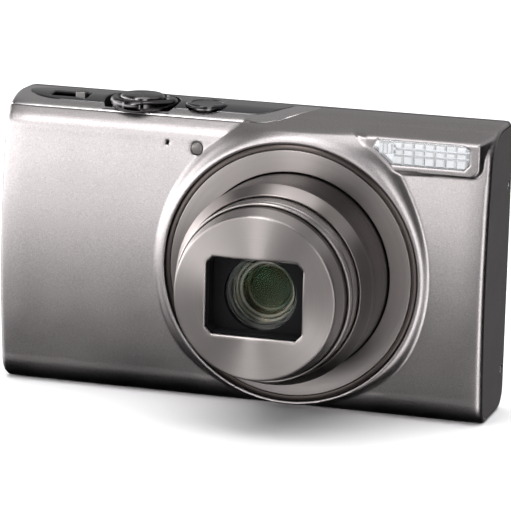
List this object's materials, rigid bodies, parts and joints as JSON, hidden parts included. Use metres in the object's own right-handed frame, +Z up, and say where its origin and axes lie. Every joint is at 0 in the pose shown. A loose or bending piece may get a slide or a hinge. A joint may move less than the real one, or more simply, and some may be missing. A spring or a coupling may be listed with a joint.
{
  "type": "compact digital camera",
  "caption": "Slim pocket camera with a telescoping zoom lens extended from a round collar, a corner flash, top controls, a rear display and a base door.",
  "frame": {"origin": "centre of the flat base face, under the middle of the body", "axes": "+Z up, +X right when seen from the front, +Y towards the back, so the lens points along -Y"},
  "size_m": [0.0996, 0.045, 0.0592],
  "materials": {
    "front_metal": "fine metallic paint, satin",
    "top_band": "bright satin",
    "panel_gloss": "dark gloss",
    "rear_shell": "dark satin",
    "side_satin": "dark grey satin",
    "flap_rubber": "matt",
    "bright_steel": "bright",
    "frame_steel": "pressed sheet",
    "lens_silver": "turned, radial sheen",
    "band_dark": "dark anodised, satin",
    "barrel_metal": "turned, satin",
    "black_plastic": "matt black",
    "blade_black": "matt black",
    "gear_plastic": "moulded",
    "pinion_brass": "cut",
    "motor_steel": "drawn can",
    "coated_glass": "coated, polished",
    "clear_plastic": "clear, ribbed",
    "reflector_bright": "polished",
    "lamp_plastic": "translucent",
    "black_can": "sleeved",
    "microphone_metal": "satin",
    "lever_metal": "dark polished",
    "button_metal": "polished",
    "power_metal": "dark satin",
    "display_glass": "gloss black",
    "display_grey": "laminated",
    "key_plastic": "satin",
    "board_green": "solder mask",
    "battery_wrap": "matt",
    "latch_orange": "satin",
    "card_blue": "satin"
  },
  "bodies": {
    "camera_body": {"front_cover": "front_metal", "rear_cover": "rear_shell", "top_cover": "top_band", "control_panel": "panel_gloss", "side_cover_right": "side_satin", "side_cover_left": "side_satin", "terminal_sockets": "bright_steel", "strap_bar": "bright_steel", "chassis": "frame_steel", "lens_ring": "lens_silver", "lens_ring_band": "band_dark", "lens_housing": "black_plastic", "zoom_motor": "motor_steel", "image_sensor": "board_green", "flash_window": "clear_plastic", "flash_reflector": "reflector_bright", "flash_tube": "clear_plastic", "flash_capacitor": "black_can", "af_lamp_lens": "lamp_plastic", "microphone": "microphone_metal", "shutter_spring": "bright_steel", "top_switches": "board_green", "display_window": "display_glass", "display_panel": "display_grey", "button_board": "board_green", "main_board": "board_green", "battery": "battery_wrap", "battery_box": "black_plastic", "memory_card": "card_blue", "card_slot": "bright_steel", "tripod_socket": "bright_steel", "cover_screws": "bright_steel"},
    "cam_ring": {"cam_ring": "gear_plastic"},
    "motor_pinion": {"motor_pinion": "pinion_brass"},
    "barrel_outer": {"barrel_outer": "barrel_metal"},
    "barrel_middle": {"barrel_middle": "barrel_metal"},
    "barrel_front": {"barrel_front": "barrel_metal", "front_plate": "lens_silver", "front_lens_holder": "black_plastic", "front_lens": "coated_glass"},
    "blade_upper_inner": {"blade_upper_inner": "blade_black"},
    "blade_upper_outer": {"blade_upper_outer": "blade_black"},
    "blade_lower_inner": {"blade_lower_inner": "blade_black"},
    "blade_lower_outer": {"blade_lower_outer": "blade_black"},
    "rear_lens": {"rear_lens": "coated_glass"},
    "zoom_lever": {"zoom_lever": "lever_metal"},
    "shutter_button": {"shutter_button": "button_metal"},
    "power_button": {"power_button": "power_metal"},
    "mode_switch": {"mode_switch": "power_metal"},
    "movie_button": {"movie_button": "key_plastic"},
    "playback_button": {"playback_button": "key_plastic"},
    "link_button": {"link_button": "key_plastic"},
    "menu_button": {"menu_button": "key_plastic"},
    "pad_carrier": {"pad_carrier": "black_plastic"},
    "control_pad": {"control_pad": "key_plastic"},
    "set_button": {"set_button": "key_plastic"},
    "battery_latch": {"battery_latch": "latch_orange"},
    "door_slider": {"door_slider": "frame_steel"},
    "battery_door": {"battery_door": "rear_shell"},
    "terminal_cover": {"terminal_cover": "flap_rubber"}
  },
  "joints": [
    {"name": "cam_turn", "type": "hinge", "parent": "camera_body", "child": "cam_ring", "pos_m": [0.0109, 0, 0.0276], "axis": [0, 1, 0], "range_deg": [-132, 18]},
    {"name": "motor_turn", "type": "hinge", "parent": "camera_body", "child": "motor_pinion", "pos_m": [0.03341, 0, 0.01242], "axis": [0, 1, 0], "range_deg": [-78, 578]},
    {"name": "zoom_slide", "type": "slide", "parent": "camera_body", "child": "barrel_outer", "axis": [0, -1, 0], "range_m": [-0.0116, 0.0015]},
    {"name": "barrel_middle_slide", "type": "slide", "parent": "barrel_outer", "child": "barrel_middle", "axis": [0, -1, 0], "range_m": [-0.00472, 0.00063]},
    {"name": "barrel_front_slide", "type": "slide", "parent": "barrel_middle", "child": "barrel_front", "axis": [0, -1, 0], "range_m": [-0.00532, 0.00071]},
    {"name": "barrier_close", "type": "slide", "parent": "barrel_front", "child": "blade_upper_inner", "axis": [0, 0, -1], "range_m": [0, 0.0076]},
    {"name": "blade_upper_outer_slide", "type": "slide", "parent": "barrel_front", "child": "blade_upper_outer", "axis": [0, 0, -1], "range_m": [0, 0.0039]},
    {"name": "blade_lower_inner_slide", "type": "slide", "parent": "barrel_front", "child": "blade_lower_inner", "axis": [0, 0, 1], "range_m": [0, 0.0077]},
    {"name": "blade_lower_outer_slide", "type": "slide", "parent": "barrel_front", "child": "blade_lower_outer", "axis": [0, 0, 1], "range_m": [0, 0.0039]},
    {"name": "focus_slide", "type": "slide", "parent": "camera_body", "child": "rear_lens", "axis": [0, -1, 0], "range_m": [-0.001, 0.001]},
    {"name": "zoom_lever_turn", "type": "hinge", "parent": "camera_body", "child": "zoom_lever", "pos_m": [-0.0233, -0.0006, 0.056], "axis": [0, 0, 1], "range_deg": [-20, 20], "stiffness_Nm_per_rad": 0.01},
    {"name": "shutter_press", "type": "slide", "parent": "camera_body", "child": "shutter_button", "axis": [0, 0, -1], "range_m": [0, 0.0007], "stiffness_N_per_m": 700, "deforming": ["shutter_spring"]},
    {"name": "power_press", "type": "slide", "parent": "camera_body", "child": "power_button", "axis": [0, 0, -1], "range_m": [0, 0.0005], "stiffness_N_per_m": 800},
    {"name": "mode_slide", "type": "slide", "parent": "camera_body", "child": "mode_switch", "axis": [-1, 0, 0], "range_m": [0, 0.0038]},
    {"name": "movie_press", "type": "slide", "parent": "camera_body", "child": "movie_button", "axis": [0, -1, 0], "range_m": [0, 0.0005], "stiffness_N_per_m": 800},
    {"name": "playback_press", "type": "slide", "parent": "camera_body", "child": "playback_button", "axis": [0, -1, 0], "range_m": [0, 0.0005], "stiffness_N_per_m": 800},
    {"name": "link_press", "type": "slide", "parent": "camera_body", "child": "link_button", "axis": [0, -1, 0], "range_m": [0, 0.0005], "stiffness_N_per_m": 800},
    {"name": "menu_press", "type": "slide", "parent": "camera_body", "child": "menu_button", "axis": [0, -1, 0], "range_m": [0, 0.0005], "stiffness_N_per_m": 800},
    {"name": "pad_tilt_up_down", "type": "hinge", "parent": "camera_body", "child": "pad_carrier", "pos_m": [-0.0343, 0.0082, 0.025], "axis": [1, 0, 0], "range_deg": [-2.5, 2.5], "stiffness_Nm_per_rad": 0.4},
    {"name": "pad_tilt_left_right", "type": "hinge", "parent": "pad_carrier", "child": "control_pad", "pos_m": [-0.0343, 0.0088, 0.025], "axis": [0, 0, 1], "range_deg": [-2.5, 2.5], "stiffness_Nm_per_rad": 0.4},
    {"name": "set_press", "type": "slide", "parent": "camera_body", "child": "set_button", "axis": [0, -1, 0], "range_m": [0, 0.0005], "stiffness_N_per_m": 800},
    {"name": "battery_latch_slide", "type": "slide", "parent": "camera_body", "child": "battery_latch", "axis": [1, 0, 0], "range_m": [0, 0.0016], "stiffness_N_per_m": 100},
    {"name": "battery_door_slide", "type": "slide", "parent": "camera_body", "child": "door_slider", "axis": [-1, 0, 0], "range_m": [0, 0.002]},
    {"name": "battery_door_swing", "type": "hinge", "parent": "door_slider", "child": "battery_door", "pos_m": [-0.03, -0.0037, 0.00062], "axis": [-1, 0, 0], "range_deg": [0, 105]},
    {"name": "terminal_cover_swing", "type": "hinge", "parent": "camera_body", "child": "terminal_cover", "pos_m": [-0.0493, 0.0049, 0.049], "axis": [0, 0, -1], "range_deg": [0, 100]}
  ],
  "couplings": [
    {"joint": "cam_turn", "follows": "zoom_slide", "rad_per_m": 195.6},
    {"joint": "motor_turn", "follows": "zoom_slide", "rad_per_m": -860.63},
    {"joint": "barrel_middle_slide", "follows": "zoom_slide", "ratio": 0.40517},
    {"joint": "barrel_front_slide", "follows": "zoom_slide", "ratio": 0.4569},
    {"joint": "blade_upper_outer_slide", "follows": "barrier_close", "ratio": 0.5},
    {"joint": "blade_lower_inner_slide", "follows": "barrier_close", "ratio": 1},
    {"joint": "blade_lower_outer_slide", "follows": "barrier_close", "ratio": 0.5}
  ]
}
